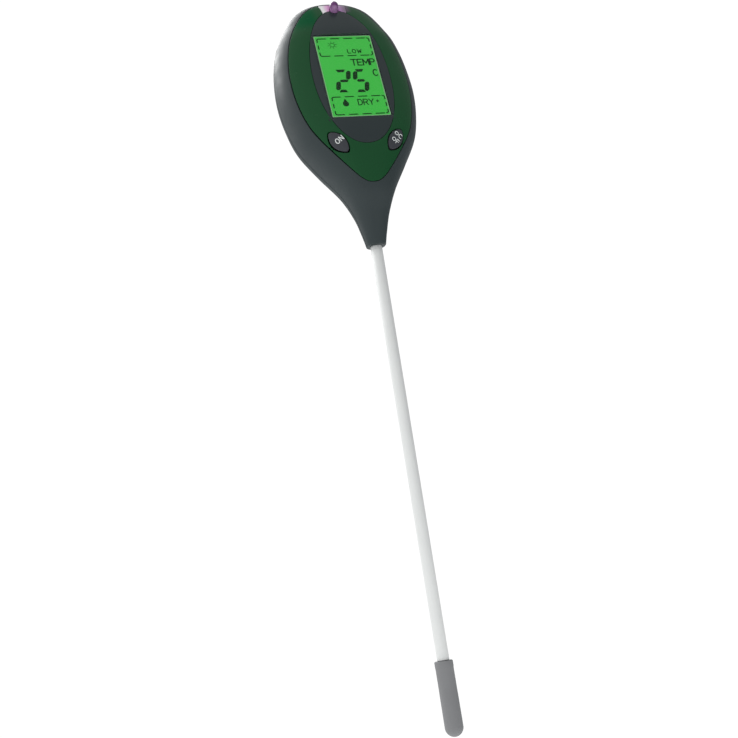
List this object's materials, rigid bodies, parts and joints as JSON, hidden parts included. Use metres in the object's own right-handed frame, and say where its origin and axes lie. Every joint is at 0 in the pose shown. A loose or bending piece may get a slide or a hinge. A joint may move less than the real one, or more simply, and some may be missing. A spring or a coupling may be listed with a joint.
{
  "type": "soil moisture meter",
  "caption": "Hand-held digital soil moisture meter: a teardrop head with a lit display and two leaf-shaped keys on a slim metal probe with a rubber tip cap.",
  "frame": {"origin": "on the probe's axis at the end face of the head's neck", "axes": "+Z along the probe's axis towards the head, -Y the side that the display looks to, +X to the viewer's right"},
  "size_m": [0.0616, 0.0431, 0.3241],
  "materials": {
    "slate_plastic": "satin moulded plastic",
    "green_gloss": "high gloss, dark green",
    "smoked_lens": "gloss, printed dark round a clear display area",
    "clear_lens": "clear, polished",
    "violet_lens": "translucent violet, polished",
    "sensor_black": "moulded package",
    "lcd": "lit green behind polariser",
    "light_guide": "diffuse white",
    "zebra": "striped silicone",
    "white_plastic": "moulded",
    "board_green": "solder mask",
    "epoxy_black": "cast epoxy",
    "screw_steel": "zinc plated",
    "switch_black": "moulded",
    "plunger_yellow": "moulded",
    "key_plastic": "fine satin",
    "battery_jacket": "printed metal jacket, no marks",
    "snap_vinyl": "soft vinyl",
    "wire_jacket": "soft PVC",
    "foam": "closed-cell foam",
    "probe_metal": "satin drawn tube",
    "brass_collar": "turned",
    "insulator": "moulded",
    "tip_metal": "turned",
    "bead_epoxy": "dipped",
    "wire_enamel": "enamelled",
    "grey_rubber": "matt moulded rubber"
  },
  "bodies": {
    "head": {"front_housing": "slate_plastic", "rear_housing": "slate_plastic", "face_plate": "green_gloss", "display_window": "smoked_lens", "light_window": "clear_lens", "sensor_dome": "violet_lens", "light_sensor": "sensor_black", "lcd_glass": "lcd", "backlight_panel": "light_guide", "zebra_strips": "zebra", "lcd_holder": "white_plastic", "circuit_board": "board_green", "controller_chip": "epoxy_black", "board_screws": "screw_steel", "key_switches": "switch_black", "battery": "battery_jacket", "battery_snap": "snap_vinyl", "battery_leads": "wire_jacket", "housing_screws": "screw_steel", "probe_tube": "probe_metal", "probe_collar": "brass_collar", "probe_insulator": "insulator", "probe_tip": "tip_metal", "thermistor": "bead_epoxy", "probe_leads": "wire_enamel"},
    "on_key": {"on_button": "key_plastic", "on_switch_plunger": "plunger_yellow"},
    "unit_key": {"unit_button": "key_plastic", "unit_switch_plunger": "plunger_yellow"},
    "door": {"battery_door": "slate_plastic", "battery_pad": "foam"},
    "cap": {"probe_cap": "grey_rubber"}
  },
  "joints": [
    {"name": "on_key_press", "type": "slide", "parent": "head", "child": "on_key", "axis": [0, 0.9686, -0.2487], "range_m": [0, 0.0005], "stiffness_N_per_m": 800, "springref_m": -0.0005},
    {"name": "unit_key_press", "type": "slide", "parent": "head", "child": "unit_key", "axis": [0, 0.9686, -0.2487], "range_m": [0, 0.0005], "stiffness_N_per_m": 800, "springref_m": -0.0005},
    {"name": "battery_door_swing", "type": "hinge", "parent": "head", "child": "door", "pos_m": [0, 0.0169, 0.0345], "axis": [-1, 0, 0], "range_deg": [0, 75]},
    {"name": "cap_pull", "type": "slide", "parent": "head", "child": "cap", "axis": [0, 0, -1], "range_m": [0, 0.03]}
  ]
}
